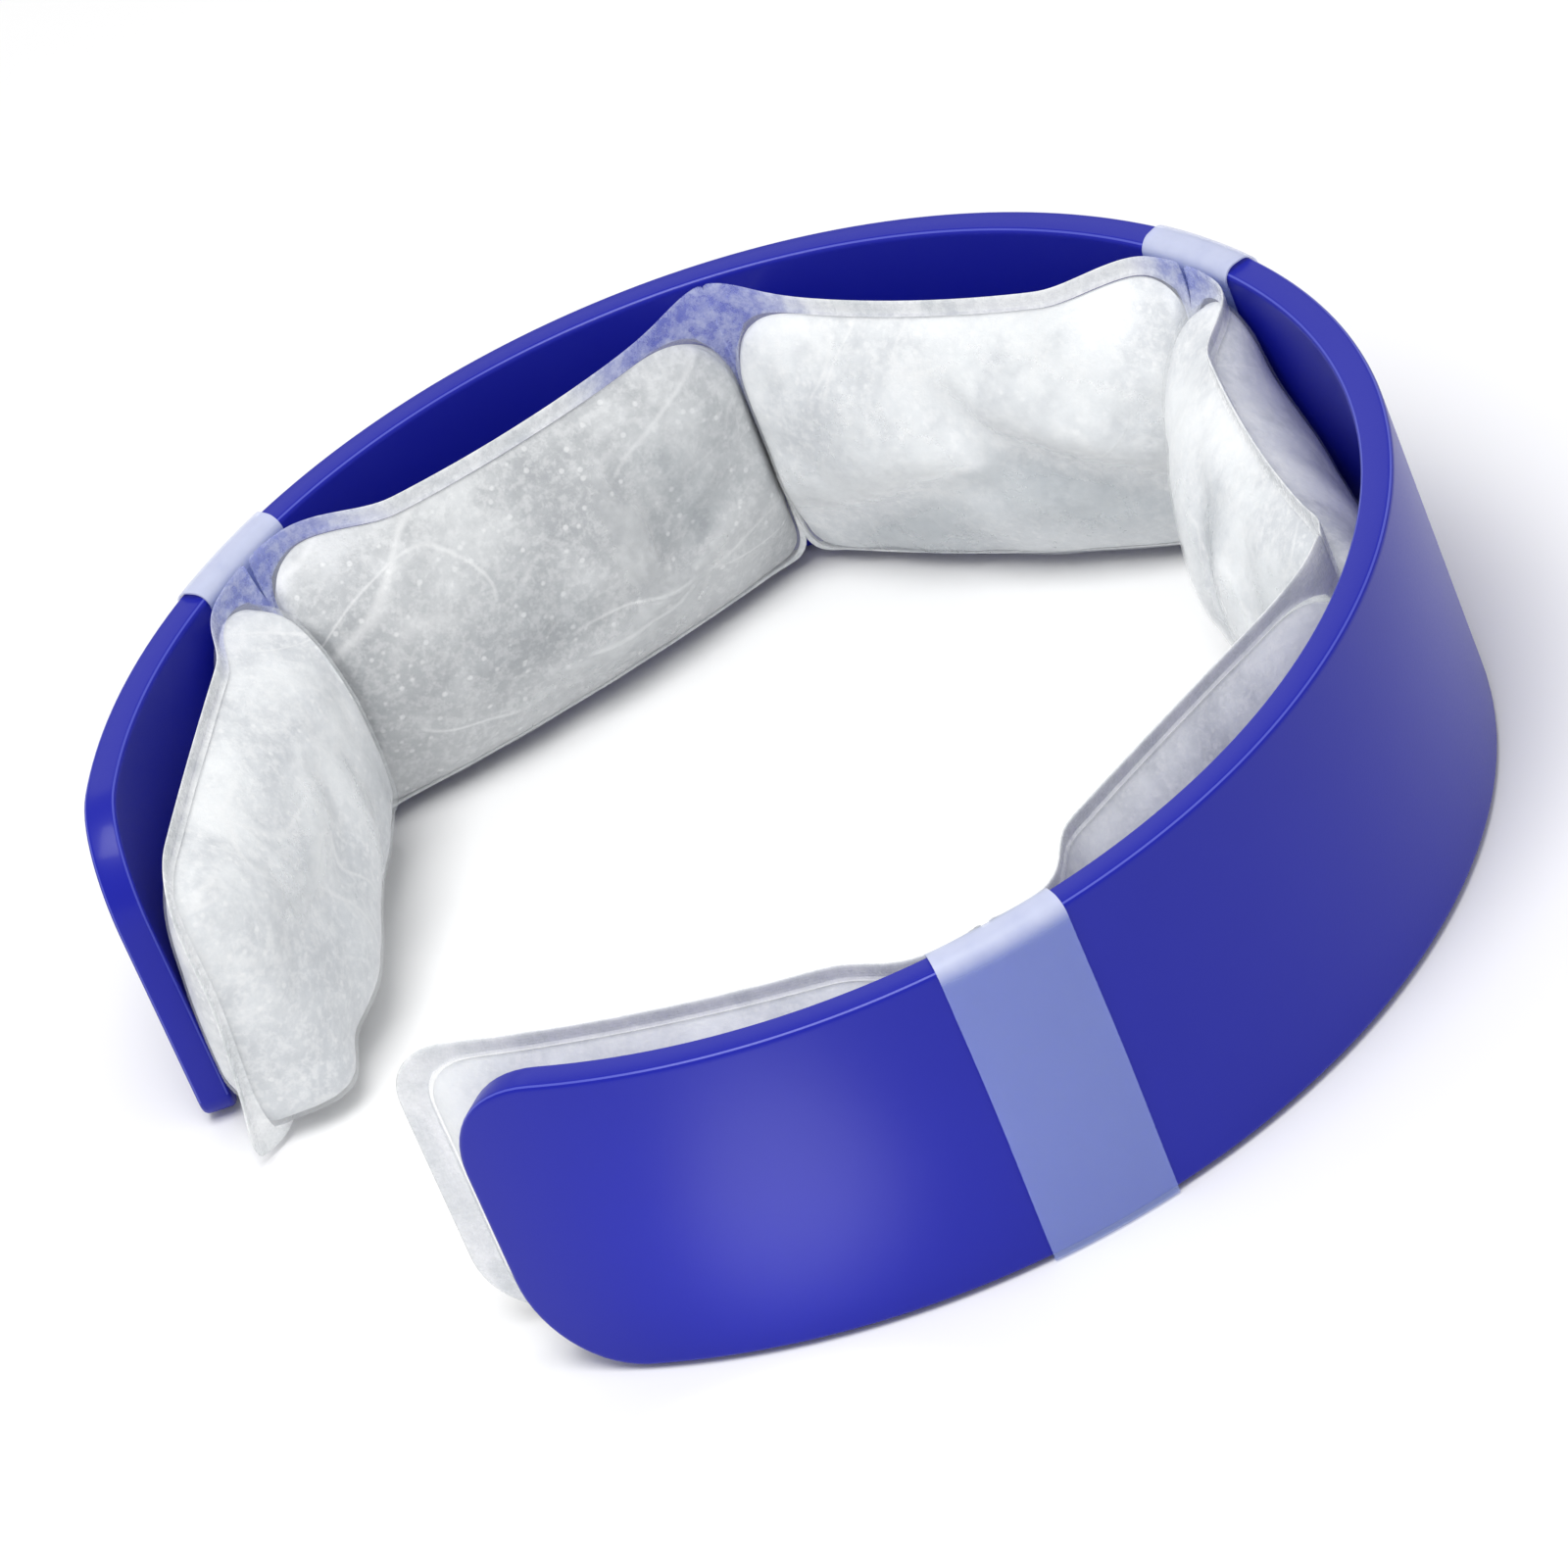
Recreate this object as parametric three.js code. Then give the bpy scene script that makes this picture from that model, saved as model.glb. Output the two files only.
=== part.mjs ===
// A springy C-shaped headband that carries a strip of six gel cells on its inside.
// Millimetres, +Z up. The band stands on its lower edge, its opening faces -Y and its back is at +Y.
// Angles are degrees round the band's own axis, from the back (+Y), positive towards -X.
import * as THREE from 'three';

// Film and running clearances.
const FILM = 0.5;
const GAP = 0.3;

// The band: outer radius, wall, height, where each arm ends and how its end corners are rounded.
// The left arm's low corner is the tightest.
const BAND_RADIUS = 100;
const BAND_WALL = 5;
const BAND_HEIGHT = 52;
const BAND_END = 151.2;
const END_CORNER = 16;
const LEFT_LOW_CORNER = 4;
const CORNER_STEPS = 5;
const BAND_STEP = 6;

// The band bends most at these two angles, where its back meets the arms.
const LEFT_FLEX = 57.5;
const RIGHT_FLEX = -47;
const FLEX_GAP = 0.8;

// The three film loops that hold the pack to the band.
const LOOP_WIDTH = 20;
const LOOP_STEPS = 5;
const LOOPS = { left: 109.85, back: 6.35, right: -101.65 };

// The pack: welds between its cells, from its left end to its right end.
const WELDS = [
  { angle: 160, radius: 90.5 },
  { angle: LOOPS.left, radius: 92.8 },
  { angle: LEFT_FLEX, radius: 92.8 },
  { angle: LOOPS.back, radius: 92.8 },
  { angle: RIGHT_FLEX, radius: 92.8 },
  { angle: LOOPS.right, radius: 92.8 },
  { angle: -159, radius: 93 },
];
const PACK_HEIGHT = 50.5;
const EDGE_MARGIN = 3.5;
const END_MARGIN = 4.5;
const WELD_MARGIN = 1.5;
const WELD_CLEARANCE = 1;

// How far the middle of each cell bows off the straight line between its welds, towards the band.
const CELL_BOWS = [2, -3, -3, -3, -3, 2];

// How far each full cell crowns towards the head and towards the band, and how full of gel it is.
const SKIN_CROWNS = [12, 9, 9, 12, 9, 9];
const BAND_CROWNS = [7, 7, 7, 8, 7, 7];
const GEL_SHARE = 0.85;
const CELL_COLUMNS = 8;
const CELL_ROWS = 6;

// Levels: the loops pass under and over the band, so the part stands on the loops.
const BAND_BOTTOM = FILM + GAP;
const BAND_TOP = BAND_BOTTOM + BAND_HEIGHT;
const LOOP_TOP = BAND_TOP + GAP + FILM;
const PACK_MIDDLE = BAND_TOP - PACK_HEIGHT / 2;
const LOOP_OUTER = BAND_RADIUS + GAP + FILM;
const LOOP_INNER = BAND_RADIUS - BAND_WALL - GAP - FILM;

// The band's axis stands behind the origin, so that the origin is under the middle of the part.
const RING_Y = -(LOOP_OUTER + BAND_RADIUS * Math.cos(THREE.MathUtils.degToRad(BAND_END))) / 2;

const FINISHES = {
  band: { color: 0x3d42b5, roughness: 0.42, metalness: 0 },
  loop: { color: 0x8a93d6, roughness: 0.5, metalness: 0 },
  film: { color: 0xe6eaea, roughness: 0.35, metalness: 0 },
  gel: { color: 0xd4dadd, roughness: 0.6, metalness: 0 },
};

const part = new THREE.Group();

function addMesh(parent, name, geometry, finish) {
  const mesh = new THREE.Mesh(geometry, new THREE.MeshStandardMaterial(FINISHES[finish]));
  mesh.name = name;
  parent.add(mesh);
}

// A point at a distance and an angle from the band's axis.
function onRing(radius, angle, z) {
  const turn = THREE.MathUtils.degToRad(angle);
  return new THREE.Vector3(-radius * Math.sin(turn), RING_Y + radius * Math.cos(turn), z);
}

// The angle that a length along the band's outer face covers.
function arcAngle(length) {
  return THREE.MathUtils.radToDeg(length / BAND_RADIUS);
}

// Moves every point of a geometry to where place(point) puts it.
function moved(geometry, place) {
  const points = geometry.getAttribute('position');
  const point = new THREE.Vector3();
  for (let index = 0; index < points.count; index += 1) {
    point.fromBufferAttribute(points, index);
    points.setXYZ(index, ...place(point));
  }
  geometry.computeVertexNormals();
  return geometry;
}

// A closed slab, two points thick along Y, whose points place(column, front, row) puts where they go.
function slab(columns, rows, place) {
  const box = new THREE.BoxGeometry(columns, 1, rows, columns, 1, rows);
  return moved(box, (point) => (
    place(Math.round(point.x + columns / 2), point.y > 0, Math.round(point.z + rows / 2))
  ));
}

// Angles from one end of a band piece to the other, closer together on a rounded free end.
function bandAngles(from, to) {
  const angles = [];
  const corner = arcAngle(END_CORNER);
  const start = from === BAND_END ? from - corner : from;
  const stop = to === -BAND_END ? to + corner : to;
  const steps = Math.ceil((start - stop) / BAND_STEP);
  for (let step = 0; step <= steps; step += 1) {
    angles.push(start + ((stop - start) * step) / steps);
  }
  for (let step = 1; step <= CORNER_STEPS; step += 1) {
    const along = corner * Math.sin(((Math.PI / 2) * step) / CORNER_STEPS);
    if (start !== from) {
      angles.unshift(start + along);
    }
    if (stop !== to) {
      angles.push(stop - along);
    }
  }
  return angles;
}

// How far an end corner's rounding cuts into the band's full height at an angle.
function cornerDrop(angle, corner) {
  const fromEnd = THREE.MathUtils.degToRad(BAND_END - Math.abs(angle)) * BAND_RADIUS;
  const inCorner = Math.max(corner - fromEnd, 0);
  return corner - Math.sqrt(Math.max(corner ** 2 - inCorner ** 2, 0));
}

// One piece of the band, between two angles.
function bandPiece(name, from, to) {
  const angles = bandAngles(from, to);
  const geometry = slab(angles.length - 1, 1, (column, outside, row) => {
    const angle = angles[column];
    const radius = outside ? BAND_RADIUS : BAND_RADIUS - BAND_WALL;
    const lowCorner = angle > 0 ? LEFT_LOW_CORNER : END_CORNER;
    const top = BAND_TOP - cornerDrop(angle, END_CORNER);
    return onRing(radius, angle, row === 1 ? top : BAND_BOTTOM + cornerDrop(angle, lowCorner));
  });
  addMesh(part, name, geometry, 'band');
}

function rectangle(path, left, bottom, right, top) {
  path.moveTo(left, bottom);
  path.lineTo(right, bottom);
  path.lineTo(right, top);
  path.lineTo(left, top);
  path.closePath();
  return path;
}

// One film loop: a rectangular ring of film round the band, bent to follow it.
function filmLoop(name, middle) {
  const section = rectangle(new THREE.Shape(), LOOP_INNER, 0, LOOP_OUTER, LOOP_TOP);
  const inside = rectangle(
    new THREE.Path(),
    LOOP_INNER + FILM,
    FILM,
    LOOP_OUTER - FILM,
    LOOP_TOP - FILM,
  );
  section.holes.push(inside);
  const straight = new THREE.ExtrudeGeometry(section, {
    depth: LOOP_WIDTH,
    steps: LOOP_STEPS,
    bevelEnabled: false,
  });
  const bent = moved(straight, (point) => (
    onRing(point.x, middle + arcAngle(LOOP_WIDTH / 2 - point.z), point.y)
  ));
  addMesh(part, name, bent, 'loop');
}

// Lines across a cell's pocket, closer together near its sides, each with its share of the crown.
function pocketLines(low, high, count) {
  const lines = [];
  for (let step = 0; step <= count; step += 1) {
    const turn = Math.PI * (step / count - 0.5);
    lines.push({ at: (low + high) / 2 + ((high - low) / 2) * Math.sin(turn), crown: Math.cos(turn) });
  }
  return lines;
}

// One face film of a cell: flat along its welds, crowned over the gel. side is +1 towards the band.
function faceFilm(columns, rows, side, height) {
  return slab(columns.length - 1, rows.length - 1, (column, front, row) => {
    const crown = height * columns[column].crown * rows[row].crown;
    const near = GAP / 2 + crown;
    const away = front === (side > 0) ? near + FILM : near;
    return [columns[column].at, columns[column].bow + side * away, rows[row].at];
  });
}

// The gel of a cell: the pocket's own shape, a little smaller.
function gelFill(columns, rows, skinCrown, bandCrown) {
  return slab(columns.length - 1, rows.length - 1, (column, front, row) => {
    const share = GEL_SHARE * columns[column].crown * rows[row].crown;
    const crown = front ? bandCrown * share : -skinCrown * share;
    return [columns[column].at, columns[column].bow + crown, rows[row].at];
  });
}

// One cell of the pack, hung between two welds.
function cell(number) {
  const [left, right] = [WELDS[number - 1], WELDS[number]];
  const start = onRing(left.radius, left.angle, PACK_MIDDLE);
  const end = onRing(right.radius, right.angle, PACK_MIDDLE);
  const half = start.distanceTo(end) / 2;
  const leftEdge = number === 1 ? -half : WELD_CLEARANCE - half;
  const rightEdge = number === WELDS.length - 1 ? half : half - WELD_CLEARANCE;
  const leftMargin = number === 1 ? END_MARGIN : WELD_MARGIN;
  const rightMargin = number === WELDS.length - 1 ? END_MARGIN : WELD_MARGIN;
  const [skinCrown, bandCrown] = [SKIN_CROWNS[number - 1], BAND_CROWNS[number - 1]];

  const across = pocketLines(leftEdge + leftMargin, rightEdge - rightMargin, CELL_COLUMNS);
  const up = pocketLines(EDGE_MARGIN - PACK_HEIGHT / 2, PACK_HEIGHT / 2 - EDGE_MARGIN, CELL_ROWS);
  const columns = [{ at: leftEdge, crown: 0 }, ...across, { at: rightEdge, crown: 0 }];
  for (const column of columns) {
    column.bow = CELL_BOWS[number - 1] * (1 - (column.at / half) ** 2);
  }
  const rows = [{ at: -PACK_HEIGHT / 2, crown: 0 }, ...up, { at: PACK_HEIGHT / 2, crown: 0 }];

  const place = new THREE.Group();
  place.position.copy(start).add(end).divideScalar(2);
  place.rotation.z = Math.atan2(end.y - start.y, end.x - start.x);
  const gel = gelFill(across.slice(1, -1), up.slice(1, -1), skinCrown, bandCrown);
  addMesh(place, `cell_${number}_skin_film`, faceFilm(columns, rows, -1, skinCrown), 'film');
  addMesh(place, `cell_${number}_band_film`, faceFilm(columns, rows, 1, bandCrown), 'film');
  addMesh(place, `cell_${number}_gel`, gel, 'gel');
  part.add(place);
}

const halfFlexGap = arcAngle(FLEX_GAP / 2);
bandPiece('band_left_arm', BAND_END, LEFT_FLEX + halfFlexGap);
bandPiece('band_back', LEFT_FLEX - halfFlexGap, RIGHT_FLEX + halfFlexGap);
bandPiece('band_right_arm', RIGHT_FLEX - halfFlexGap, -BAND_END);
filmLoop('film_loop_left', LOOPS.left);
filmLoop('film_loop_back', LOOPS.back);
filmLoop('film_loop_right', LOOPS.right);
for (let number = 1; number < WELDS.length; number += 1) {
  cell(number);
}

export default part;
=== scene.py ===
"""A springy C-shaped headband with a strip of six gel cells held inside it by three film loops."""
import math

import bmesh
import bpy
import numpy as np
from mathutils import Matrix, Vector


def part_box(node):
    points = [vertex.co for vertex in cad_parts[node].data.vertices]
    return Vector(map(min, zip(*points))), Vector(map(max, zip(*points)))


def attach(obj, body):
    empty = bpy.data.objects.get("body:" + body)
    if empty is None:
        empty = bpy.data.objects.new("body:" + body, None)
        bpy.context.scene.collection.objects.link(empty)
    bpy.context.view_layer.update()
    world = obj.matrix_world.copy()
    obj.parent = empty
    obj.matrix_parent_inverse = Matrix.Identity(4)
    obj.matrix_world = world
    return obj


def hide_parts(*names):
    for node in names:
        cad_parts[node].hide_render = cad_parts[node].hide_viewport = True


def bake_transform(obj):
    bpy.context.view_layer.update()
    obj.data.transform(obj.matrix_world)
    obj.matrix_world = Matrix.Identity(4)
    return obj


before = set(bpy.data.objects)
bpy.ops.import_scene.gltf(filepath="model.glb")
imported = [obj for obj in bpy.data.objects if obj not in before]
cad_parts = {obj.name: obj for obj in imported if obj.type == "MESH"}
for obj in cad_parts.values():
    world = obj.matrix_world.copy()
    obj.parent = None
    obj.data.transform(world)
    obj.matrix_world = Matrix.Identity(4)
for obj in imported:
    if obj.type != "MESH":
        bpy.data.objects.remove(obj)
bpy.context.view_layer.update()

MM = 0.001

# ---------------------------------------------------------------- driving dimensions, as in the CAD
BAND_RADIUS = 100 * MM
BAND_WALL = 5 * MM
BAND_END = 151.2
END_CORNER = 16 * MM
# The low corner at the left (1) and right (-1) free end.
LOW_CORNERS = {1: 4 * MM, -1: END_CORNER}
BAND_BOTTOM, BAND_TOP = (corner.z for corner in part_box("band_back"))
BAND_MIDDLE = (BAND_BOTTOM + BAND_TOP) / 2
LOOP_OUTER = BAND_RADIUS + 0.8 * MM
WELD_RADIUS = 92.8 * MM
RING_Y = -(LOOP_OUTER + BAND_RADIUS * math.cos(math.radians(BAND_END))) / 2
LOOP_WIDTH = 20 * MM
LOOP_ANGLES = {"left": 109.85, "back": 6.35, "right": -101.65}
FLEX_ANGLES = {"left": 57.5, "right": -47}

# Welds across the pack, from its left end to its right end: (angle, radius).
WELDS = [
    (160, 90.5 * MM),
    (LOOP_ANGLES["left"], WELD_RADIUS),
    (FLEX_ANGLES["left"], WELD_RADIUS),
    (LOOP_ANGLES["back"], WELD_RADIUS),
    (FLEX_ANGLES["right"], WELD_RADIUS),
    (LOOP_ANGLES["right"], WELD_RADIUS),
    (-159, 93 * MM),
]
# The body that each cell not listed in BENDS follows, and how far each cell's middle bows towards the
# band.
CELL_BODIES = ["left_end_cell", "left_arm", "back", "back", "right_arm", "right_end_cell"]
CELL_BOWS = [2 * MM, -3 * MM, -3 * MM, -3 * MM, -3 * MM, 2 * MM]
PACK_BOTTOM, PACK_TOP = (corner.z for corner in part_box("cell_3_skin_film"))
PACK_HALF = (PACK_TOP - PACK_BOTTOM) / 2
PACK_MIDDLE = (PACK_TOP + PACK_BOTTOM) / 2


def on_ring(radius, angle, z):
    """A point beside the band's axis; angles count from the back (+Y), positive towards -X."""
    turn = math.radians(angle)
    return (-radius * math.sin(turn), RING_Y + radius * math.cos(turn), z)


# ---------------------------------------------------------------- camera
# Where it looks from (degrees, then metres), and how far its picture is shifted right and up.
VIEW_AZIMUTH = 68.1
VIEW_ELEVATION = 33.7
VIEW_ROLL = -22.95
VIEW_DISTANCE = 15.697 * BAND_RADIUS
VIEW_LENS = 247.7
VIEW_SENSOR = 36
VIEW_FAR = 100
VIEW_RIGHT = -0.0045 * BAND_RADIUS
VIEW_UP = -0.0206 * BAND_RADIUS


def make_camera():
    azimuth, elevation, roll = (math.radians(a) for a in (VIEW_AZIMUTH, VIEW_ELEVATION, VIEW_ROLL))
    back = Vector((
        math.sin(azimuth) * math.cos(elevation),
        -math.cos(azimuth) * math.cos(elevation),
        math.sin(elevation),
    ))
    level = (-back).cross(Vector((0, 0, 1))).normalized()
    upright = level.cross(-back)
    right = math.cos(roll) * level + math.sin(roll) * upright
    up = -math.sin(roll) * level + math.cos(roll) * upright
    centre = Vector(on_ring(0, 0, BAND_MIDDLE))
    data = bpy.data.cameras.new("camera")
    data.lens = VIEW_LENS
    data.sensor_width = VIEW_SENSOR
    data.clip_end = VIEW_FAR
    camera = bpy.data.objects.new("camera", data)
    turn = Matrix((right, up, back)).transposed().to_4x4()
    spot = centre + back * VIEW_DISTANCE + VIEW_RIGHT * right + VIEW_UP * up
    camera.matrix_world = Matrix.Translation(spot) @ turn
    bpy.context.scene.collection.objects.link(camera)
    bpy.context.scene.camera = camera


make_camera()


# ---------------------------------------------------------------- node helpers
class Nodes:
    """A new material's node tree, with a short way to add and join nodes."""

    def __init__(self, name):
        self.material = bpy.data.materials.new(name)
        self.material.use_nodes = True
        self.tree = self.material.node_tree
        self.shader = self.tree.nodes["Principled BSDF"]
        self.place = self.tree.nodes.new("ShaderNodeTexCoord").outputs["Object"]

    def add(self, kind, settings=None, **inputs):
        node = self.tree.nodes.new(kind)
        for key, value in (settings or {}).items():
            setattr(node, key, value)
        for key, value in inputs.items():
            self.join(value, node.inputs[key.replace("_", " ")])
        return node

    def join(self, value, socket):
        if isinstance(value, bpy.types.NodeSocket):
            self.tree.links.new(value, socket)
        else:
            socket.default_value = value

    def mix(self, factor, first, second, blend="MIX"):
        node = self.tree.nodes.new("ShaderNodeMix")
        node.data_type = "RGBA"
        node.blend_type = blend
        self.join(factor, node.inputs[0])
        self.join(first, node.inputs[6])
        self.join(second, node.inputs[7])
        return node.outputs[2]

    def math(self, operation, first, second=0.0, third=0.0):
        node = self.tree.nodes.new("ShaderNodeMath")
        node.operation = operation
        for value, socket in zip((first, second, third), node.inputs):
            self.join(value, socket)
        return node.outputs[0]

    def noise(self, vector, scale, detail=3.0, roughness=0.5, distortion=0.0):
        return self.add(
            "ShaderNodeTexNoise",
            Vector=vector,
            Scale=scale,
            Detail=detail,
            Roughness=roughness,
            Distortion=distortion,
        ).outputs["Fac"]

    def smooth(self, value, low, high):
        """0 below low, 1 above high, smooth between."""
        node = self.add("ShaderNodeMapRange", {"interpolation_type": "SMOOTHSTEP"}, Value=value)
        node.inputs["From Min"].default_value = low
        node.inputs["From Max"].default_value = high
        return node.outputs["Result"]

    def creases(self, scale, thin, turn, stretch=(1.0, 0.35, 1.0)):
        """1 along long, thin, wandering lines, 0 between them; turn sets which way they mostly run."""
        mapping = self.add("ShaderNodeMapping", Vector=self.place, Rotation=turn, Scale=stretch)
        wander = self.noise(mapping.outputs["Vector"], scale, 1.5, 0.4, 0.3)
        off = self.math("ABSOLUTE", self.math("SUBTRACT", wander, 0.5))
        return self.math("SUBTRACT", 1.0, self.smooth(off, 0.0, thin))

    def near(self, spot, inner, outer):
        """1 within a distance of a spot, 0 beyond another, smooth between."""
        away = [-value for value in spot]
        shifted = self.add("ShaderNodeMapping", Vector=self.place, Location=away).outputs["Vector"]
        length = self.add("ShaderNodeVectorMath", {"operation": "LENGTH"}, Vector=shifted)
        return self.math("SUBTRACT", 1.0, self.smooth(length.outputs["Value"], inner, outer))

    def bump(self, height, strength, distance):
        node = self.add("ShaderNodeBump", Height=height, Strength=strength, Distance=distance)
        return node.outputs["Normal"]

    def set(self, **inputs):
        for key, value in inputs.items():
            self.join(value, self.shader.inputs[key.replace("_", " ")])


def grey(value):
    return (value, value, value, 1)


# ---------------------------------------------------------------- materials
def band_plastic(name, dark, light):
    """Satin moulded plastic, very slightly mottled between two colours."""
    nodes = Nodes(name)
    cloud = nodes.noise(nodes.place, 35, 2)
    grain = nodes.noise(nodes.place, 2600, 2)
    nodes.set(
        Base_Color=nodes.mix(cloud, dark, light),
        Roughness=nodes.math("MULTIPLY_ADD", grain, 0.06, 0.38),
        Specular_IOR_Level=0.2,
        Coat_Weight=0.2,
        Coat_Roughness=0.16,
        Normal=nodes.bump(grain, 0.05, 0.0002),
    )
    return nodes.material


def loop_film():
    """Thin smooth film, with a painted highlight: whiter and more opaque where it bends over the band's
    rim.
    """
    nodes = Nodes("loop_film")
    cloud = nodes.noise(nodes.place, 140, 3, 0.6)
    height = nodes.add("ShaderNodeSeparateXYZ", Vector=nodes.place).outputs["Z"]
    # Painted highlight over the rim, a little broken up by the cloud.
    rim_painted_highlight = nodes.smooth(height, BAND_TOP - 3 * MM, BAND_TOP + 0.6 * MM)
    rim_painted_highlight = nodes.math("MULTIPLY", rim_painted_highlight, nodes.math("MULTIPLY_ADD", cloud, 0.5, 0.75))
    nodes.set(
        Base_Color=nodes.mix(rim_painted_highlight, (0.42, 0.53, 1.0, 1), (0.76, 0.81, 1.0, 1)),
        Roughness=nodes.math("MULTIPLY_ADD", cloud, 0.04, 0.34),
        Alpha=nodes.math("MULTIPLY_ADD", rim_painted_highlight, 0.28, nodes.math("MULTIPLY_ADD", cloud, 0.015, 0.245)),
    )
    return nodes.material


def frost_creases(nodes):
    """The long thin creases that both the film and the gel show."""
    long = nodes.creases(26, 0.009, (0.0, 0.4, 0.9))
    cross = nodes.creases(34, 0.007, (0.9, 0.2, -0.5))
    patchy = nodes.smooth(nodes.noise(nodes.place, 55, 2), 0.42, 0.62)
    return nodes.math("MULTIPLY", nodes.math("MAXIMUM", long, cross), patchy)


def frost_bands(nodes):
    """Broad soft streaks of whiter gel."""
    turn, stretch = (0.5, 0.3, 0.7), (1.0, 0.3, 0.6)
    mapping = nodes.add("ShaderNodeMapping", Vector=nodes.place, Rotation=turn, Scale=stretch)
    return nodes.smooth(nodes.noise(mapping.outputs["Vector"], 62, 4, 0.55, 0.5), 0.50, 0.64)


def pack_film():
    """The face films over the gel: thin, a little glossy, finely frosted and creased. Each point's veil
    makes the film whiter (up to 1, lapped film) or greyer (down to -1, painted shade beside a fold)."""
    nodes = Nodes("pack_film")
    cloud = nodes.noise(nodes.place, 60, 4, 0.6)
    fine = nodes.noise(nodes.place, 520, 3, 0.65)
    ripple = nodes.noise(nodes.place, 160, 3, 0.6, 0.8)
    height = nodes.math("MULTIPLY_ADD", fine, 0.35, nodes.math("MULTIPLY", ripple, 1.2))
    height = nodes.math("MULTIPLY_ADD", frost_creases(nodes), 0.3, height)
    veil_and_shade = nodes.add("ShaderNodeAttribute", {"attribute_name": "veil_and_shade"}).outputs["Fac"]
    body = nodes.mix(cloud, (0.86, 0.88, 0.90, 1), (0.94, 0.96, 0.96, 1))
    frosted = nodes.math("MULTIPLY_ADD", fine, 0.12, nodes.math("MULTIPLY_ADD", cloud, 0.15, 0.06))
    nodes.set(
        # Painted shade: below 0 the veil mixes the film towards grey; its size also makes the film more
        # opaque.
        Base_Color=nodes.mix(nodes.math("MULTIPLY", veil_and_shade, -4.0), body, (0.50, 0.54, 0.57, 1)),
        Roughness=nodes.math("MULTIPLY_ADD", cloud, 0.18, 0.20),
        Alpha=nodes.math("MULTIPLY_ADD", nodes.math("ABSOLUTE", veil_and_shade, 0.0), 0.6, frosted),
        Normal=nodes.bump(height, 0.45, 0.0005),
    )
    return nodes.material


# Where the welded margin lies against the band and looks blue: angle, how far below the pack's top
# edge, and the distances where the blue starts and stops fading.
BLUE_WELDS = [
    (LOOP_ANGLES["left"], 10 * MM, 7 * MM, 26 * MM),
    (FLEX_ANGLES["left"] + 3, 7 * MM, 9 * MM, 26 * MM),
    (LOOP_ANGLES["back"], 0, 2 * MM, 12 * MM),
]


def weld_film():
    """The welded margin: two films in one, mottled, with a fine knurl from the welding tool."""
    nodes = Nodes("weld_film")
    flat = nodes.add("ShaderNodeUVMap", {"uv_map": "film_mm"}).outputs["UV"]
    across = nodes.add("ShaderNodeSeparateXYZ", Vector=flat).outputs
    first, second = (
        nodes.math("SINE", nodes.math("MULTIPLY", nodes.math(way, across["X"], across["Y"]), 6.0))
        for way in ("ADD", "SUBTRACT")
    )
    knurl = nodes.math("MULTIPLY", first, second)
    mottle = nodes.smooth(nodes.noise(nodes.place, 420, 5, 0.75), 0.3, 0.7)
    streak = nodes.smooth(nodes.noise(nodes.place, 90, 3, 0.6, 1.0), 0.35, 0.65)
    blue = 0.0
    for angle, below, inner, outer in BLUE_WELDS:
        spot = on_ring(WELD_RADIUS, angle, PACK_TOP - below)
        blue = nodes.math("MAXIMUM", blue, nodes.near(spot, inner, outer))
    pale = nodes.mix(streak, (0.76, 0.79, 0.81, 1), (0.95, 0.965, 0.98, 1))
    pale = nodes.mix(nodes.math("MULTIPLY", mottle, 0.35), pale, grey(0.97))
    blueish = nodes.mix(mottle, (0.34, 0.40, 1.0, 1), (0.72, 0.77, 1.0, 1))
    nodes.set(
        Base_Color=nodes.mix(blue, pale, blueish),
        Roughness=nodes.math("MULTIPLY_ADD", mottle, 0.1, 0.22),
        Alpha=nodes.math(
            "MULTIPLY_ADD",
            nodes.math("SUBTRACT", 1.0, blue),
            0.44,
            nodes.math("MULTIPLY_ADD", mottle, 0.20, 0.24),
        ),
        Normal=nodes.bump(nodes.math("MULTIPLY_ADD", knurl, 0.35, mottle), 0.12, 0.0003),
    )
    return nodes.material


# How frosted the gel of each cell is, from clear grey (0) to white (1).
GEL_FROST = [0.88, 0.2, 0.93, 1.0, 0.9, 1.0]


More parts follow.
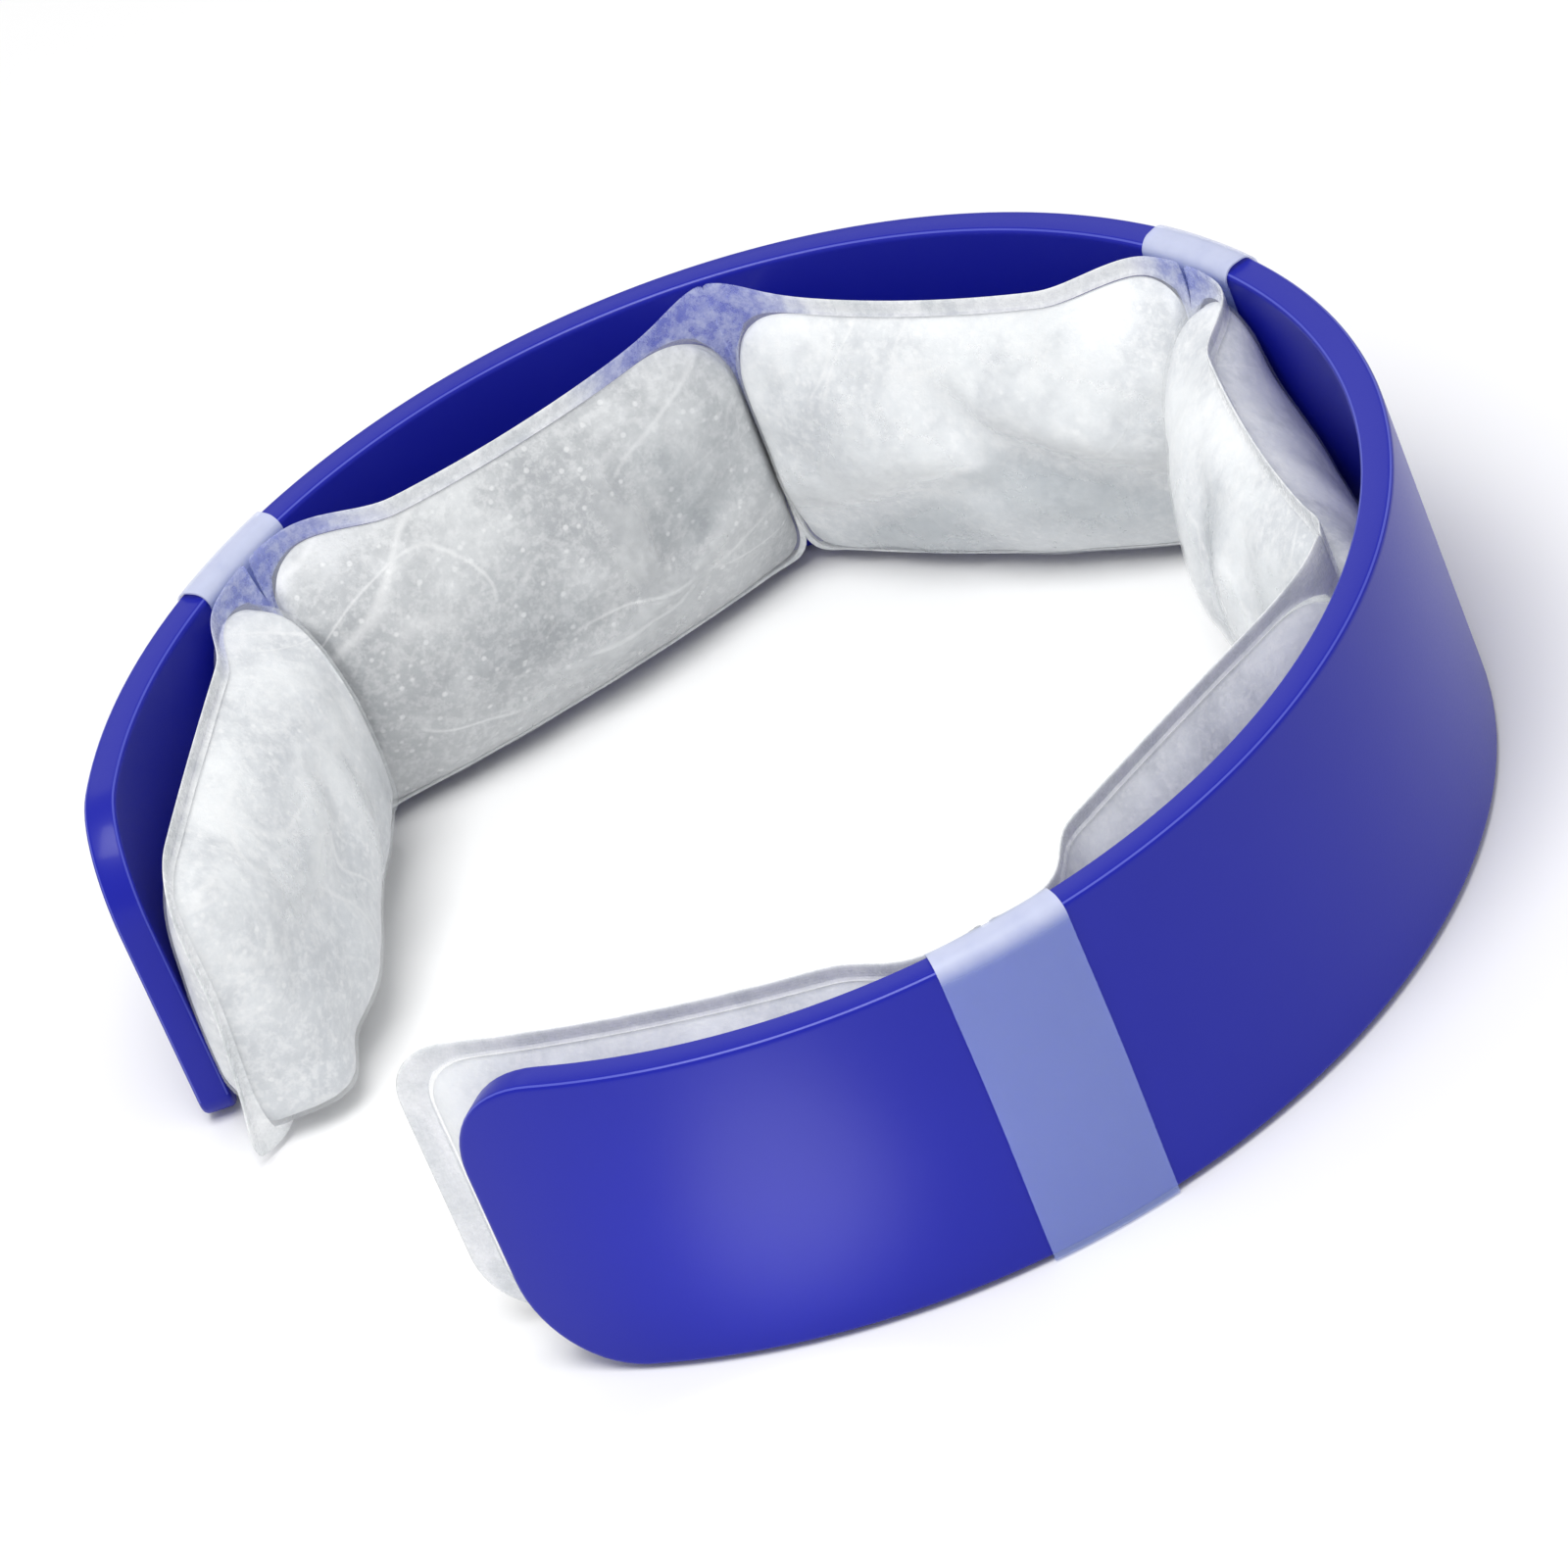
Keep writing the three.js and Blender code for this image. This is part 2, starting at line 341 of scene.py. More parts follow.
def gel_material(number):
    """Cloudy half-frozen gel: white and grey patches, with frost, creases and bubbles, and painted
    shade that greys it low down."""
    nodes = Nodes(f"gel_{number}")
    frosted = GEL_FROST[number - 1]
    clear = 0.30 + 0.32 * frosted
    grey_gel = (clear, 1.04 * clear, 1.1 * clear, 1)
    milk = 0.66 + 0.31 * frosted
    milky = (0.965 * milk, 0.985 * milk, milk, 1)
    patches = nodes.smooth(nodes.noise(nodes.place, 46, 6, 0.68, 0.2), 0.36, 0.64)
    frost = nodes.smooth(nodes.noise(nodes.place, 620, 3, 0.75), 0.42, 0.66)
    bubbles = nodes.add("ShaderNodeTexVoronoi", Vector=nodes.place, Scale=380.0).outputs["Distance"]
    height = nodes.add("ShaderNodeSeparateXYZ", Vector=nodes.place).outputs["Z"]
    # Painted shade: the gel is greyed towards the bottom of the pack.
    low_painted_shade = nodes.math("SUBTRACT", 1.0, nodes.smooth(height, PACK_BOTTOM + 4 * MM, PACK_TOP - 8 * MM))
    base = nodes.mix(patches, grey_gel, milky)
    base = nodes.mix(nodes.math("MULTIPLY", frost_bands(nodes), 0.2 + 0.4 * frosted), base, milky)
    base = nodes.mix(nodes.math("MULTIPLY", low_painted_shade, 0.5), base, grey_gel)
    base = nodes.mix(nodes.math("MULTIPLY", frost, 0.28 + 0.2 * frosted), base, grey(0.97))
    base = nodes.mix(nodes.math("MULTIPLY", frost_creases(nodes), 0.5), base, grey(0.95))
    spot = nodes.math("SUBTRACT", 1.0, nodes.smooth(bubbles, 0.10, 0.22))
    base = nodes.mix(nodes.math("MULTIPLY", spot, 0.5), base, grey(0.98))
    nodes.set(
        Base_Color=base,
        Roughness=nodes.math("MULTIPLY_ADD", frost, 0.25, 0.3),
        Normal=nodes.bump(frost, 0.1, 0.0004),
    )
    return nodes.material


# ---------------------------------------------------------------- mesh helpers
def mesh_object(name, points, faces, materials, slots=None, uv=None):
    """A smooth mesh object; slots gives each face's material, uv each point's place on flat film."""
    mesh = bpy.data.meshes.new(name)
    points = [tuple(map(float, point)) for point in points]
    mesh.from_pydata(points, [], [tuple(map(int, face)) for face in faces])
    for material in materials:
        mesh.materials.append(material)
    if slots is not None:
        mesh.polygons.foreach_set("material_index", slots)
    if uv is not None:
        layer = mesh.uv_layers.new(name="film_mm")
        corners = np.empty(len(mesh.loops), np.int32)
        mesh.loops.foreach_get("vertex_index", corners)
        layer.data.foreach_set("uv", np.asarray(uv, np.float32)[corners].ravel())
    shape = bmesh.new()
    shape.from_mesh(mesh)
    bmesh.ops.recalc_face_normals(shape, faces=shape.faces)
    shape.to_mesh(mesh)
    shape.free()
    mesh.shade_smooth()
    obj = bpy.data.objects.new(name, mesh)
    bpy.context.scene.collection.objects.link(obj)
    return obj


def applied(obj):
    """Replaces an object's mesh by what its modifiers make of it."""
    graph = bpy.context.evaluated_depsgraph_get()
    final = obj.evaluated_get(graph)
    mesh = bpy.data.meshes.new_from_object(final, preserve_all_data_layers=True, depsgraph=graph)
    obj.modifiers.clear()
    obj.data = mesh
    return obj


def subdivide(obj, levels=1):
    modifier = obj.modifiers.new("smooth", "SUBSURF")
    modifier.levels = modifier.render_levels = levels
    modifier.boundary_smooth = "PRESERVE_CORNERS"
    return applied(obj)


# ---------------------------------------------------------------- band
# How the wall's edges are rounded, and how finely the band is divided.
EDGE_ROUND = 0.8 * MM
EDGE_STEPS = 4
CORNER_STEPS = 14
BAND_STEP = 2.5 * MM
SHARP_ANGLE = math.radians(60)
# The strips of the profile that carry a painted highlight: a thin light line along each edge of the
# band's top.
PAINTED_HIGHLIGHT_RINGS = (4, 8)


def edge_profile():
    """(how far inside the outline, how far off the wall's middle), from outer face to inner face."""
    half = BAND_WALL / 2
    profile = [(EDGE_ROUND + 2 * MM, half), (EDGE_ROUND + 0.3 * MM, half)]
    for step in range(EDGE_STEPS + 1):
        turn = math.pi / 2 * step / EDGE_STEPS
        profile.append((EDGE_ROUND * (1 - math.sin(turn)), half - EDGE_ROUND * (1 - math.cos(turn))))
    return profile + [(inside, -off) for inside, off in reversed(profile)]


def end_corner(corner):
    """Points from END_CORNER before the free end, along the edge and round its corner:
    (distance from the free end, how far inside the edge, outward normal)."""
    straight = END_CORNER - corner
    points = []
    for step in range(CORNER_STEPS + 1):
        gone = (straight + math.pi / 2 * corner) * step / CORNER_STEPS
        turn = max(gone - straight, 0) / corner
        s, c = math.sin(turn), math.cos(turn)
        along = END_CORNER - gone if gone < straight else corner * (1 - s)
        points.append((along, corner * (1 - c), -s, c))
    return points


def band_outline(length, low_corner):
    """Half the band's flat outline, from its cut end along the top, round the free end and back.
    Each point is (distance from the free end, height, outward normal)."""
    half = (BAND_TOP - BAND_BOTTOM) / 2
    steps = round((length - END_CORNER) / BAND_STEP)
    stations = np.linspace(length, END_CORNER, steps, endpoint=False)
    edge = [(along, 0.0, 0.0, 1.0) for along in stations]
    high, low = edge + end_corner(END_CORNER), edge + end_corner(low_corner)
    top = [(along, half - inside, ns, nz) for along, inside, ns, nz in high]
    bottom = [(along, inside - half, ns, -nz) for along, inside, ns, nz in low]
    return top + bottom[::-1]


def band_half(name, side, materials):
    """One half of the band, from under the back loop to a free end. side is +1 left, -1 right."""
    turn = BAND_END - side * LOOP_ANGLES["back"]
    outline = band_outline(math.radians(turn) * BAND_RADIUS, LOW_CORNERS[side])
    profile = edge_profile()
    count = len(outline)
    points = []
    for inside, off in profile:
        for along, z, ns, nz in outline:
            angle = side * (BAND_END - math.degrees((along - inside * ns) / BAND_RADIUS))
            radius = BAND_RADIUS - BAND_WALL / 2 + off
            points.append(on_ring(radius, angle, BAND_MIDDLE + z - inside * nz))
    faces = []
    slots = []
    for ring in range(len(profile) - 1):
        for k in range(count - 1):
            a = ring * count + k
            faces.append((a, a + 1, a + 1 + count, a + count))
            # Painted highlight: the edge strips along the top half of the outline get the lighter
            # plastic.
            slots.append(int(ring in PAINTED_HIGHLIGHT_RINGS and k < count // 2))
    last = (len(profile) - 1) * count
    for k in range(count // 2 - 1):
        faces.append((k, k + 1, count - 2 - k, count - 1 - k))
        faces.append((last + k, last + k + 1, last + count - 2 - k, last + count - 1 - k))
    rings = range(len(profile))
    top_end = [ring * count for ring in rings]
    faces.append(top_end + [ring * count + count - 1 for ring in reversed(rings)])
    slots += [0] * (len(faces) - len(slots))
    obj = mesh_object(name, points, faces, materials, slots)
    obj.data.set_sharp_from_angle(angle=SHARP_ANGLE)
    return obj


# ---------------------------------------------------------------- film loops
# The film's thickness, how far it stands off the wall and the rim, and how it rounds the wall's edges.
LOOP_FILM = 0.25 * MM
LOOP_GAP = 0.35 * MM
LOOP_TOP_GAP = 0.9 * MM
LOOP_TOP_ROUND = 2.4 * MM
LOOP_FOLD_ROUND = 0.7 * MM
LOOP_ROUND_STEPS = 8
LOOP_ACROSS = 14
LOOP_STRETCH = 4 * MM
LOOP_WAVE = 0.12 * MM
LOOP_WAVE_LENGTH = 9 * MM


def loop_path():
    """The film's middle line round the band's wall: (radius, height, outward normal)."""
    low_r = BAND_RADIUS - BAND_WALL - LOOP_GAP - LOOP_FILM / 2
    high_r = BAND_RADIUS + LOOP_GAP + LOOP_FILM / 2
    low_z = LOOP_FILM / 2
    high_z = BAND_TOP + LOOP_TOP_GAP
    corners = [
        (high_r, low_z, LOOP_FOLD_ROUND, -90),
        (high_r, high_z, LOOP_TOP_ROUND, 0),
        (low_r, high_z, LOOP_TOP_ROUND, 90),
        (low_r, low_z, LOOP_FOLD_ROUND, 180),
    ]
    path = []
    for r, z, bend, first in corners:
        centre_r = r - bend if r == high_r else r + bend
        centre_z = z + bend if z == low_z else z - bend
        for step in range(LOOP_ROUND_STEPS + 1):
            turn = math.radians(first + 90 * step / LOOP_ROUND_STEPS)
            nr, nz = math.cos(turn), math.sin(turn)
            path.append((centre_r + bend * nr, centre_z + bend * nz, nr, nz))
    return path


def spaced(path, longest):
    """Adds points along the path's long straight stretches."""
    out = []
    for first, second in zip(path, path[1:] + path[:1]):
        first, second = np.array(first), np.array(second)
        steps = max(1, math.ceil(np.linalg.norm((second - first)[:2]) / longest))
        out += [first + (second - first) * step / steps for step in range(steps)]
    return out


def film_loop(name, middle, material):
    """A closed loop of film round the band, its side edges very slightly wavy."""
    path = spaced(loop_path(), LOOP_STRETCH)
    count = len(path)
    points = []
    for column in range(LOOP_ACROSS + 1):
        share = column / LOOP_ACROSS - 0.5
        for side in (1, -1):
            for k, (r, z, nr, nz) in enumerate(path):
                wave = LOOP_WAVE * math.sin(z / LOOP_WAVE_LENGTH + 3 * share)
                across = share * LOOP_WIDTH + 2 * share * wave
                angle = middle - math.degrees(across / BAND_RADIUS)
                lift = side * LOOP_FILM / 2
                points.append(on_ring(r + nr * lift, angle, z + nz * lift))
    faces = []
    block = 2 * count
    for column in range(LOOP_ACROSS):
        for layer in (0, count):
            for k in range(count):
                a = column * block + layer + k
                b = column * block + layer + (k + 1) % count
                faces.append((a, b, b + block, a + block))
    for start in (0, LOOP_ACROSS * block):
        for k in range(count):
            a, b = start + k, start + (k + 1) % count
            faces.append((a, b, b + count, a + count))
    obj = mesh_object(name, points, faces, [material])
    obj.data.set_sharp_from_angle(angle=SHARP_ANGLE)
    return obj


# ---------------------------------------------------------------- pack
# How finely each sheet of a cell is divided, along it and up it, and the rings of its welded margin.
ACROSS = 44
UP = 26
MARGIN_RINGS = (0.3, 0.65, 1.0)
OUTLINE_ARC = 16

# The welds: half their thickness, their margins, and the ones that carry a loop.
WELD_HALF = 0.2 * MM
TOP_MARGIN = 3.0 * MM
BOTTOM_MARGIN = 0.6 * MM
SEAM_MARGIN = 0.6 * MM
LOOP_SEAMS = (1, 3, 5)

# Each cell's crowns towards the head and the band, how far its gel sinks, how square its section is,
# and how often its fine puckers are smoothed.
SKIN_CROWNS = [15 * MM, 9.5 * MM, 9.5 * MM, 14 * MM, 9.5 * MM, 9.5 * MM]
BAND_CROWNS = [8 * MM, 7 * MM, 7 * MM, 12 * MM, 7 * MM, 7.5 * MM]
GEL_SAGS = [5.5 * MM, 2.5 * MM, 2.5 * MM, 2 * MM, 2 * MM, 2 * MM]
FULLNESS = [0.68, 0.85, 0.85, 0.8, 0.85, 0.85]
SMOOTHING = [10, 4, 4, 5, 4, 4]

# Clearances: film to film, gel to film, film to the band's wall at the joints' sharpest turns.
FILM_GAP = 0.3 * MM
GEL_GAP = 0.3 * MM
GEL_SHRINK = 0.5 * MM
GEL_LEAST = 0.02 * MM
GEL_MIDDLE = -1 * MM
WALL_REACH = BAND_RADIUS - BAND_WALL - 1.1 * MM
SWING_TURN = 35
FLEX_TURN = 4

# The slack top edge, and the low edge where the gel hangs and squashes.
TOP_SAG = 2.0 * MM
LOW_BULGE = 4.0 * MM
LOW_REACH = 8 * MM
LOW_SPARE = 1.8 * MM
LOW_SOFT = 3 * MM

# The left end cell: its toe, its belly, its curled tip and the film's own tip.
TOE_REACH = 72 * MM
TOE_FULLNESS = 0.3
TOE_SWELL = 0.31
TOE_LEAN = 2.4 * MM
BELLY_SWELL = 0.18
BELLY_AT = -9 * MM
BELLY_WIDTH = 18 * MM
TIP_CURL = 4 * MM
TIP_DROP = 1.7 * MM
TIP_REACH = 2.8 * MM
TIP_SIZE = 7 * MM

# Beside a weld: how far the pillows press out over it, are drawn back at it and hump above it.
SEAM_BULGE = 1.1
SEAM_OVERLAP = 0.25 * MM
SEAM_ROUND = 8 * MM
SEAM_PULL = 1.9 * MM
SEAM_HUMP = 2.0 * MM
SEAM_HUMP_WIDTH = 9 * MM
LOOP_DRAWN = (5 * MM, 23 * MM)

# Free ends: the weld margin, and the corner radii (low, high) of the pocket and of the film's edge.
FREE_ENDS = {
    1: {"margin": 2.2 * MM, "pocket": (4 * MM, 9 * MM), "edge": (5.5 * MM, 11 * MM)},
    6: {"margin": 4.5 * MM, "pocket": (8 * MM, 8 * MM), "edge": (11 * MM, 10 * MM)},
}
# The same corners beside a weld; a pocket's high one depends on whether the weld carries a loop.
SEAM_POCKET_LOW = 4.5 * MM
SEAM_POCKET_HIGH = {True: 9 * MM, False: 15 * MM}
SEAM_EDGE_LOW = 4 * MM
SEAM_EDGE_HIGH = 0.2 * MM

# The skin-side film's slack, and its soft folds: cell, from (x, z), to (x, z), depth and half-width.
SLACK_SIZE = 22 * MM
SLACK_DEPTH = 0.7 * MM
FOLD_SCALE = 1.7 * MM
# How white the lapped film beside a fold is, and how dark the painted shade on the fold's other side.
FOLD_WHITE = 0.4
FOLD_SHADE = 0.26
FOLDS = [
    (1, (-34, 2), (16, 8), 0.5, 5),
    (1, (6, -18), (22, 8), 0.7, 5),
    (2, (22, -20), (14, 20), 1.0, 5),
    (2, (34, 0), (-20, -14), 0.9, 5),
    (3, (-6, 14), (38, -16), 1.8, 5),
    (3, (-38, -16), (6, -2), 1.5, 6),
    (3, (26, 10), (6, 16), 0.8, 4),
    (4, (14, -20), (-8, 18), 1.3, 5),
    (4, (30, -6), (14, 16), 1.0, 5),
    (5, (-20, 10), (16, -12), 1.2, 5),
    (5, (6, 18), (24, -4), 0.9, 4),
    (6, (-16, -10), (20, 8), 1.2, 5),
    (6, (-24, 14), (-6, -16), 0.8, 4),
]


def smoothstep(low, high, value):
    share = np.clip((value - low) / (high - low), 0, 1)
    return share * share * (3 - 2 * share)


def rounded_outline(left, right, low, high, radii):
    """Points round a rounded rectangle, counter-clockwise from the middle of its low left corner:
    ACROSS along the bottom, UP along the right side, and so on. radii: low left, low right, high right,
    high left."""
    corners = [(left, low), (right, low), (right, high), (left, high)]
    inward = [(1, 1), (-1, 1), (-1, -1), (1, -1)]
    arcs = []
    for (x, z), (sx, sz), radius, first in zip(corners, inward, radii, (180, 270, 0, 90)):
        turns = np.radians(first + np.linspace(0, 90, OUTLINE_ARC + 1))
        arcs.append(np.stack([
            x + sx * radius + radius * np.cos(turns),
            z + sz * radius + radius * np.sin(turns),
        ], 1))
    outline = []
    for side in range(4):
        half = OUTLINE_ARC // 2
        line = np.concatenate([arcs[side][half:], arcs[(side + 1) % 4][:half + 1]])
        lengths = np.linalg.norm(np.diff(line, axis=0), axis=1)
        along = np.concatenate([[0], np.cumsum(lengths)])
        steps = ACROSS if side % 2 == 0 else UP
        at = np.linspace(0, along[-1], steps + 1)[:-1]
        outline.append(np.stack([np.interp(at, along, line[:, k]) for k in (0, 1)], 1))
    return np.concatenate(outline)


def filled(outline):
    """A grid of points inside an outline (Coons patch), as an array [column, row, xz]."""
    bottom = outline[:ACROSS + 1]
    right = outline[ACROSS:ACROSS + UP + 1]
    top = outline[ACROSS + UP:2 * ACROSS + UP + 1][::-1]
    left = np.concatenate([outline[2 * ACROSS + UP:], outline[:1]])[::-1]
    u = np.linspace(0, 1, ACROSS + 1)[:, None, None]
    v = np.linspace(0, 1, UP + 1)[None, :, None]
    grid = (1 - v) * bottom[:, None] + v * top[:, None] + (1 - u) * left[None] + u * right[None]
    grid -= (1 - u) * (1 - v) * bottom[0] + u * (1 - v) * bottom[-1]
    grid -= (1 - u) * v * top[0] + u * v * top[-1]
    return grid


class Cell:
    """One cell's own frame (x along it, y towards the band, z up) and its two outlines."""

    def __init__(self, number):
        self.number = number
        welds = WELDS[number - 1:number + 1]
        ends = [np.array(on_ring(radius, angle, PACK_MIDDLE)) for angle, radius in welds]
        self.middle = (ends[0] + ends[1]) / 2
        self.half = np.linalg.norm(ends[1] - ends[0]) / 2
        self.along = (ends[1] - ends[0]) / (2 * self.half)
        self.out = np.array([-self.along[1], self.along[0], 0])
        self.bow = CELL_BOWS[number - 1]
        self.skin_crown = SKIN_CROWNS[number - 1]
        self.band_crown = BAND_CROWNS[number - 1]
        # The weld at each end of the cell, or None at a free end.
        self.seams = {-1: number - 1 or None, 1: number if number < len(WELDS) - 1 else None}
        low, high = -PACK_HALF, PACK_HALF
        margins = [self.corner(end, "margin") for end in (-1, 1)]
        self.pocket = rounded_outline(
            margins[0] - self.half,
            self.half - margins[1],
            low + BOTTOM_MARGIN,
            high - TOP_MARGIN,
            self.radii("pocket"),
        )
        over = [0 if self.seams[end] is None else SEAM_OVERLAP for end in (-1, 1)]
        left, right = -self.half - over[0], self.half + over[1]
        self.edge = rounded_outline(left, right, low, high, self.radii("edge"))
        if number == 1:
            self.draw_tip()

    def draw_tip(self):
        """The film's low corner at the pack's left end runs out to a small tip."""
        corner = np.array([-self.half, -PACK_HALF])
        pull = np.exp(-(np.linalg.norm(self.edge - corner, axis=1) / TIP_SIZE) ** 4)
        self.edge -= pull[:, None] * (TIP_REACH, TIP_DROP)

    def corner(self, end, kind):
        """The weld margin at one end, or the (low, high) corner radii of the pocket or of the edge."""
        seam = self.seams[end]
        if seam is None:
            return FREE_ENDS[self.number][kind]
        pocket = (SEAM_POCKET_LOW, SEAM_POCKET_HIGH[seam in LOOP_SEAMS])
        edge = (SEAM_EDGE_LOW, SEAM_EDGE_HIGH)
        return {"margin": SEAM_MARGIN, "pocket": pocket, "edge": edge}[kind]

    def toe(self, x, z):
        """1 at the low corner of the pack's left end, where most of the gel sinks to, 0 far from it."""
        if self.number != 1:
            return np.zeros(len(x))
        near = smoothstep(0, 1, 1 - (x + self.half) / TOE_REACH)
        return near * smoothstep(-0.2, 0.9, -z / PACK_HALF)

    def belly(self, x, z):
        """1 low in the middle of the left end cell, which hangs fullest there, 0 far from it."""
        if self.number != 1:
            return np.zeros(len(x))
        near = np.exp(-((x - BELLY_AT) / BELLY_WIDTH) ** 2)
        return near * smoothstep(-0.5, 0.6, -z / PACK_HALF)

    def radii(self, kind):
        (low_left, high_left), (low_right, high_right) = (self.corner(end, kind) for end in (-1, 1))
        return [low_left, low_right, high_right, high_left]

    def turn(self, seam, sharpest=False):
        """Half the angle between this cell and its neighbour, at rest or at its sharpest."""
        bend = (WELDS[seam - 1][0] - WELDS[seam + 1][0]) / 2
        if sharpest:
            bend += SWING_TURN if seam in (1, 5) else FLEX_TURN
        return math.radians(bend / 2)

    def wall_line(self, x):
        """How far the band-side limit for the pack stands off the cell's chord."""
        centre = np.array(on_ring(0, 0, PACK_MIDDLE)) - self.middle
        return centre @ self.out + np.sqrt(WALL_REACH ** 2 - (x - centre @ self.along) ** 2)

    def shaped(self, points, gap=0.0):
        """Bends flat points as the cell hangs: bowed as a whole, its top edge a little slack, drawn out
        to the loop at a weld that carries one, and folded against its neighbour at every weld."""
        x, y, z = points.T.copy()
        bow = self.bow * (1 - np.clip(x / self.half, -1, 1) ** 2)
        up = np.clip(z / PACK_HALF, 0, 1)
        z -= TOP_SAG * (1 - np.clip(x / self.half, -1, 1) ** 2) * up ** 2
        y += bow
        if self.number == 1:
            end, low = x + self.half, z + PACK_HALF
            curl = smoothstep(0, 6 * MM, end) * (1 - smoothstep(10 * MM, 30 * MM, end))
            y += TOE_LEAN * self.toe(x, z) - TIP_CURL * curl * (1 - smoothstep(0, 10 * MM, low))
        start = x.copy()
        for end, seam in self.seams.items():
            if seam is None:
                continue
            away = self.half - end * start
            drawn = smoothstep(0.3, 0.95, up) * (1 - smoothstep(*LOOP_DRAWN, away))
            drawn *= seam in LOOP_SEAMS
            y += drawn * (self.wall_line(start) - bow)
            y -= (1 - drawn) * SEAM_PULL * np.clip(1 - away / SEAM_ROUND, 0, 1) ** 2
            x += end * y * math.tan(self.turn(seam)) * (1 - smoothstep(0, SEAM_ROUND, away))
            if seam not in LOOP_SEAMS:
                z += SEAM_HUMP * up ** 2 * np.exp(-(away / SEAM_HUMP_WIDTH) ** 2)
        return self.kept_clear(np.stack([x, y, z], 1), gap)

    def kept_clear(self, points, gap):
        """Keeps points off the wall of the band and on this cell's side of the fold at each weld."""
        wall = self.wall_line(points[:, 0]) + WELD_HALF - gap
        points[:, 1] = np.minimum(points[:, 1], wall)
        for end, seam in self.seams.items():
            if seam is None:
                continue
            slope = math.tan(self.turn(seam, sharpest=True))
            inner = np.clip(-points[:, 1] - SEAM_PULL - WELD_HALF, 0, None)
            spare = (FILM_GAP + gap) * smoothstep(0, 2 * MM, inner)
            drawn = SEAM_PULL * math.tan(self.turn(seam)) * (inner > 0)
            limit = self.half - inner * slope - spare - drawn
            points[:, 0] = end * np.minimum(end * points[:, 0], np.maximum(limit, 0))
        return points

    def placed(self, points):
        """Where points of the cell's own frame stand in the shared frame."""
        x, y, z = points[:, :1], points[:, 1:2], points[:, 2:]
        return self.middle + x * self.along + y * self.out + z * (0, 0, 1.0)


# Places in a cell's grid, round its rim, in the order of the outline's points.
RIM_PLACES = (
    [(i, 0) for i in range(ACROSS)] + [(ACROSS, j) for j in range(UP)]
    + [(ACROSS - i, UP) for i in range(ACROSS)] + [(0, UP - j) for j in range(UP)]
)
RIM = np.array([i * (UP + 1) + j for i, j in RIM_PLACES])
COUNT = (ACROSS + 1) * (UP + 1)


def sheet_faces(flip):
    """The faces of one sheet, turned over for the band side."""
    faces = []
    for i in range(ACROSS):
        for j in range(UP):
            a = i * (UP + 1) + j
            quad = (a, a + UP + 1, a + UP + 2, a + 1)
            faces.append(quad[::-1] if flip else quad)
    return faces


def pocket_faces(base=0):
    """Both sheets of a pocket: the skin side first, then the band side."""
    return [tuple(base + k for k in face) for face in sheet_faces(False)] + [
        tuple(base + COUNT + k for k in face) for face in sheet_faces(True)
    ]


def waves(points, size, seed):
    """Smooth random heights, about -1 to 1, over flat points: a sum of turned sine waves."""
    draw = np.random.default_rng(seed)
    total = np.zeros(len(points))
    for _ in range(12):
        turn = draw.uniform(0, 2 * math.pi)
        length = 2 * math.pi / (size * draw.uniform(0.7, 1.5))
        direction = np.array([math.cos(turn), math.sin(turn)]) * length
        total += np.sin(points @ direction + draw.uniform(0, 2 * math.pi))
    return total / 4.2


# The cloth simulation: it runs 20 times life size, where the solver's units suit it.
SIM_SCALE = 20.0
SIM_FRAMES = 26
SIM_PRESSURE = 3.2
SIM_SPARE = -0.085


def start_sheets(cell):
    """A cell's two sheets before they are blown up: [skin side, band side], in its own frame."""
    grid = filled(cell.pocket).reshape(-1, 2)
    u = np.repeat(np.linspace(-1, 1, ACROSS + 1), UP + 1)
    v = np.tile(np.linspace(-1, 1, UP + 1), ACROSS + 1)
    dome = np.sqrt(np.clip((1 - u ** 2) * (1 - v ** 2), 0, 1))
    lift = dome * (1 + 0.15 * waves(grid, 26 * MM, 10 + cell.number))
    return np.array([
        np.column_stack([grid[:, 0], -cell.skin_crown * lift, grid[:, 1]]),
        np.column_stack([grid[:, 0], cell.band_crown * lift, grid[:, 1]]),
    ])


def pillows(cells):
    """Blows up every cell's pocket in one cloth simulation; returns each cell's two sheets."""
    starts = [start_sheets(cell) for cell in cells]
    points = np.concatenate([sheets.reshape(-1, 3) for sheets in starts]) * (1, 0.55, 1)
    faces = [face for number in range(len(cells)) for face in pocket_faces(2 * COUNT * number)]

    # The two sheets of a cell share the points of their rim.
    welded = np.arange(len(points))
    for number in range(len(cells)):
        skin_rim = 2 * COUNT * number + RIM
        welded[skin_rim + COUNT] = skin_rim
    sources, compact = np.unique(welded, return_inverse=True)
    mesh = bpy.data.meshes.new("pillows")
    mesh.from_pydata(
        [tuple(point) for point in points[sources] * SIM_SCALE],
        [],
        [tuple(int(compact[k]) for k in face) for face in faces],
    )
    obj = bpy.data.objects.new("pillows", mesh)
    bpy.context.scene.collection.objects.link(obj)
    pins = obj.vertex_groups.new(name="pins")
    pins.add([int(k) for k in np.flatnonzero(np.isin(sources % (2 * COUNT), RIM))], 1.0, "REPLACE")
    blow_up(obj)
    graph = bpy.context.evaluated_depsgraph_get()
    blown = obj.evaluated_get(graph).to_mesh()
    flat = np.empty(len(blown.vertices) * 3, np.float32)
    blown.vertices.foreach_get("co", flat)
    bpy.data.objects.remove(obj)
    bpy.context.scene.frame_set(1)
    blown_points = (flat.reshape(-1, 3) / SIM_SCALE)[compact].astype(float)
    return list(blown_points.reshape(len(cells), 2, COUNT, 3))


